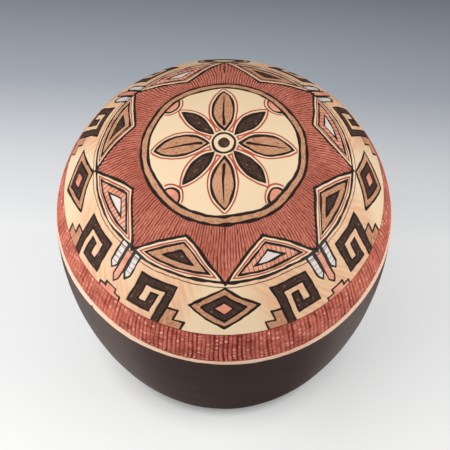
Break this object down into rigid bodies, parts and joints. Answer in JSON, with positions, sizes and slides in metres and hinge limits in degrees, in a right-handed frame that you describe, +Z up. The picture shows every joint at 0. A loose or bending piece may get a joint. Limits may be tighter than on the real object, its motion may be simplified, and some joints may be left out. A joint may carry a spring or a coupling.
{
  "type": "seed pot",
  "caption": "Nearly round, closed ceramic seed pot with a dark polished body, a carved red band, a cream dome with a geometric design, a flat foot and a small mouth in the back of the dome.",
  "frame": {"origin": "centre of the flat foot, on the surface that the pot stands on", "axes": "+Z up along the pot's axis; -Y is the front; the mouth is in the dome on the +Y side; +X is to the right seen from the front"},
  "size_m": [0.165, 0.165, 0.1737],
  "materials": {
    "dark_slip": "stone-polished dark brown slip, satin",
    "cream_slip": "stone-polished cream slip with carved and painted design, low satin",
    "red_clay": "carved brick-red ribs, matt"
  },
  "bodies": {
    "root": {"base": "dark_slip", "lower_wall": "dark_slip", "upper_wall": "dark_slip", "cream_line": "cream_slip", "red_band": "red_clay", "dome_wall": "cream_slip", "crown": "cream_slip", "mouth_lip": "cream_slip"}
  },
  "joints": []
}
